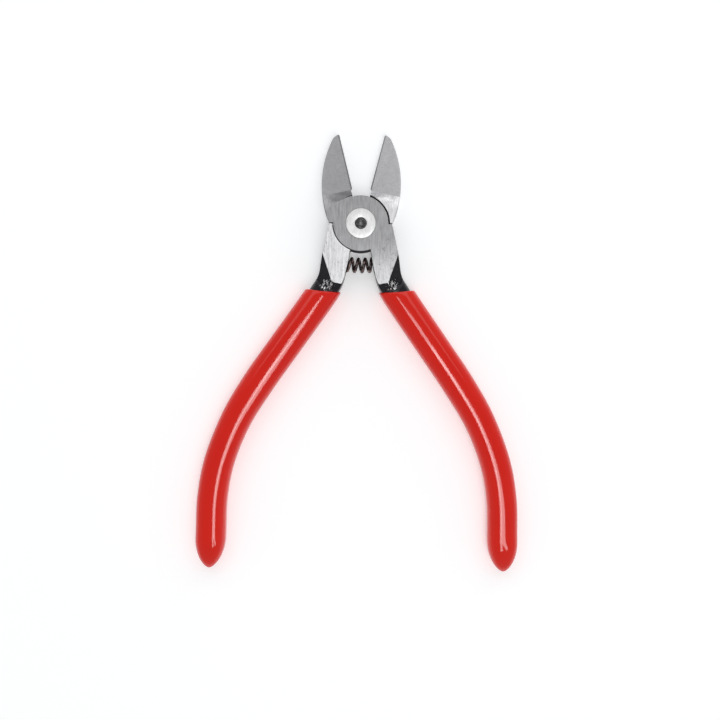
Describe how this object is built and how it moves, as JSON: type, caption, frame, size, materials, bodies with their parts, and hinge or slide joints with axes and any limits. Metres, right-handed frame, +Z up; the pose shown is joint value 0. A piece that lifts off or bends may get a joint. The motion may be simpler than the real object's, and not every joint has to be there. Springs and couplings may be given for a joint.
{
  "type": "diagonal cutting pliers",
  "caption": "Lap-joint diagonal cutting pliers with ground bevel jaws, riveted pivot, return spring between the handles and dipped vinyl grips.",
  "frame": {"origin": "on the pivot axis, in the plane the tool lies on, at the middle of the rivet's flat back end", "axes": "+Y from the pivot towards the jaws, +Z up out of the surface the tool lies on, along the pivot, +X to the right grip"},
  "size_m": [0.088, 0.1189, 0.008],
  "materials": {
    "forging": "forged steel, ground bright on the jaws, joint and tangs, black lacquered forging skin behind",
    "rivet": "dark polished steel",
    "washer": "bright ground steel",
    "spring": "blackened spring wire",
    "grip": "glossy dipped red vinyl"
  },
  "bodies": {
    "front_half": {"front_half": "forging", "right_grip": "grip", "pivot_rivet": "rivet", "front_washer": "washer", "back_washer": "washer", "return_spring": "spring"},
    "back_half": {"back_half": "forging", "left_grip": "grip"}
  },
  "joints": [
    {"name": "jaw_pivot", "type": "hinge", "parent": "front_half", "child": "back_half", "pos_m": [0, 0, 0], "axis": [0, 0, 1], "range_deg": [0, 28.4], "stiffness_Nm_per_rad": 0.27, "springref_deg": -3.44, "deforming": ["return_spring"]}
  ]
}
